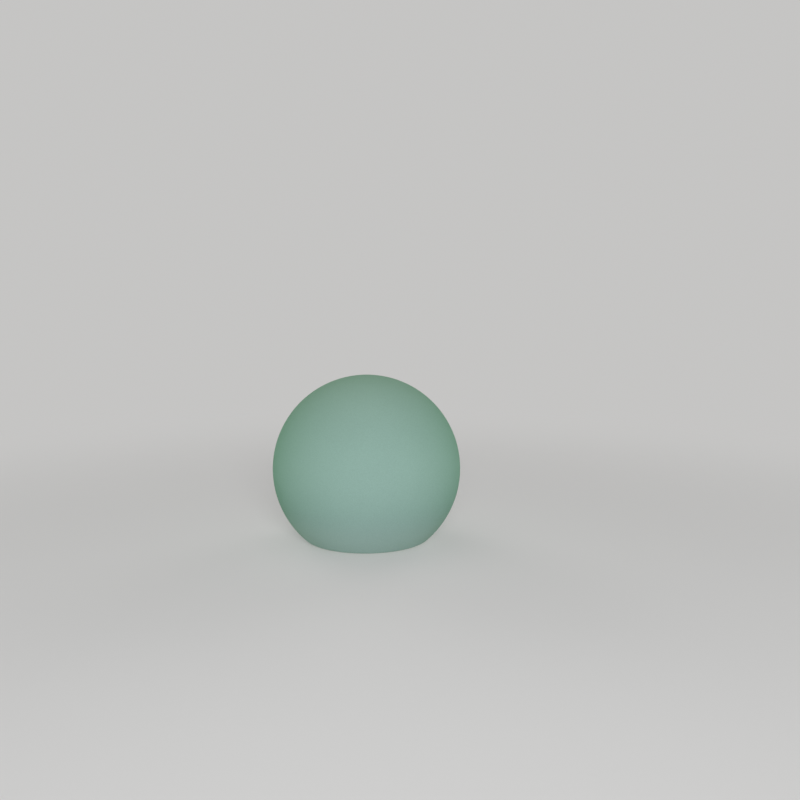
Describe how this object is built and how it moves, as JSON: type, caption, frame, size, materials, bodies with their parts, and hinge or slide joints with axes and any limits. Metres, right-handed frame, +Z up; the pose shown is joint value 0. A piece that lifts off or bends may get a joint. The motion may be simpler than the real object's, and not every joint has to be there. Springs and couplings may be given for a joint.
{
  "type": "garden globe light",
  "caption": "Frosted, colour-changing garden globe light that stands on its flattened underside, with a twist-off rechargeable base inside.",
  "frame": {"origin": "middle of the underside, on the plane that the rubber feet stand on", "axes": "+Z up through the globe's middle; +X from the middle of the base towards the charging port"},
  "size_m": [0.2, 0.2, 0.1776],
  "materials": {
    "frosted_globe": "frosted, moulded, glowing mint green",
    "white_base": "fine moulded texture",
    "neck_plastic": "smooth moulded",
    "grey_silicone": "satin silicone",
    "white_silicone": "satin silicone",
    "foot_rubber": "matt rubber",
    "button_plastic": "satin moulded",
    "black_plastic": "satin moulded",
    "screw_steel": "plated",
    "socket_steel": "drawn and plated",
    "clear_plastic": "clear moulded",
    "green_board": "solder mask",
    "white_board": "white solder mask on aluminium",
    "led_package": "white moulded, with a lens",
    "ferrite": "sintered",
    "cell_sleeve": "shrunk sleeve",
    "nickel_strip": "rolled nickel",
    "cradle_plastic": "moulded",
    "grey_foam": "closed-cell foam",
    "frosted_dome": "frosted, moulded",
    "connector_nylon": "moulded nylon",
    "ribbon_vinyl": "flat cable",
    "red_wire": "insulated lead",
    "black_wire": "insulated lead"
  },
  "bodies": {
    "base": {"base_housing": "white_base", "battery_cell_front": "cell_sleeve", "battery_cell_rear": "cell_sleeve", "battery_connector": "connector_nylon", "battery_cradle": "cradle_plastic", "battery_tabs": "nickel_strip", "battery_wire_black": "black_wire", "battery_wire_red": "red_wire", "board_screws": "screw_steel", "bottom_cover": "white_base", "button_membrane": "white_silicone", "charge_socket": "socket_steel", "control_board": "green_board", "controller_chip": "black_plastic", "cover_screws": "screw_steel", "cover_seal": "grey_silicone", "cradle_screws": "screw_steel", "diffuser_dome": "frosted_dome", "dome_screws": "screw_steel", "dome_seal": "grey_silicone", "foam_pad": "grey_foam", "indicator_led": "led_package", "led_board": "white_board", "led_board_screws": "screw_steel", "led_chips": "led_package", "led_connector": "connector_nylon", "led_ribbon": "ribbon_vinyl", "light_pipe": "clear_plastic", "membrane_clamp": "black_plastic", "plug_anchor": "grey_silicone", "power_inductor": "ferrite", "remote_receiver": "black_plastic", "ribbon_connector": "connector_nylon", "ribbon_grommet": "grey_silicone", "rubber_feet": "foot_rubber", "switch_body": "black_plastic"},
    "gasket": {"globe_gasket": "grey_silicone"},
    "globe": {"globe_shell": "frosted_globe", "neck_ring": "neck_plastic"},
    "button": {"power_button": "button_plastic", "switch_plunger": "white_silicone"},
    "port_plug": {"port_plug": "grey_silicone"}
  },
  "joints": [
    {"name": "globe_twist", "type": "hinge", "parent": "base", "child": "gasket", "pos_m": [0, 0, 0.0082], "axis": [0, 0, 1], "range_deg": [0, 45]},
    {"name": "globe_lift", "type": "slide", "parent": "gasket", "child": "globe", "axis": [0, 0, 1], "range_m": [0, 0.1]},
    {"name": "button_press", "type": "slide", "parent": "base", "child": "button", "axis": [0, 0, 1], "range_m": [0, 0.001], "stiffness_N_per_m": 1500, "deforming": ["button_membrane"]},
    {"name": "port_plug_open", "type": "hinge", "parent": "base", "child": "port_plug", "pos_m": [0.017, 0, 0.0015], "axis": [0, 1, 0], "range_deg": [0, 110]}
  ]
}
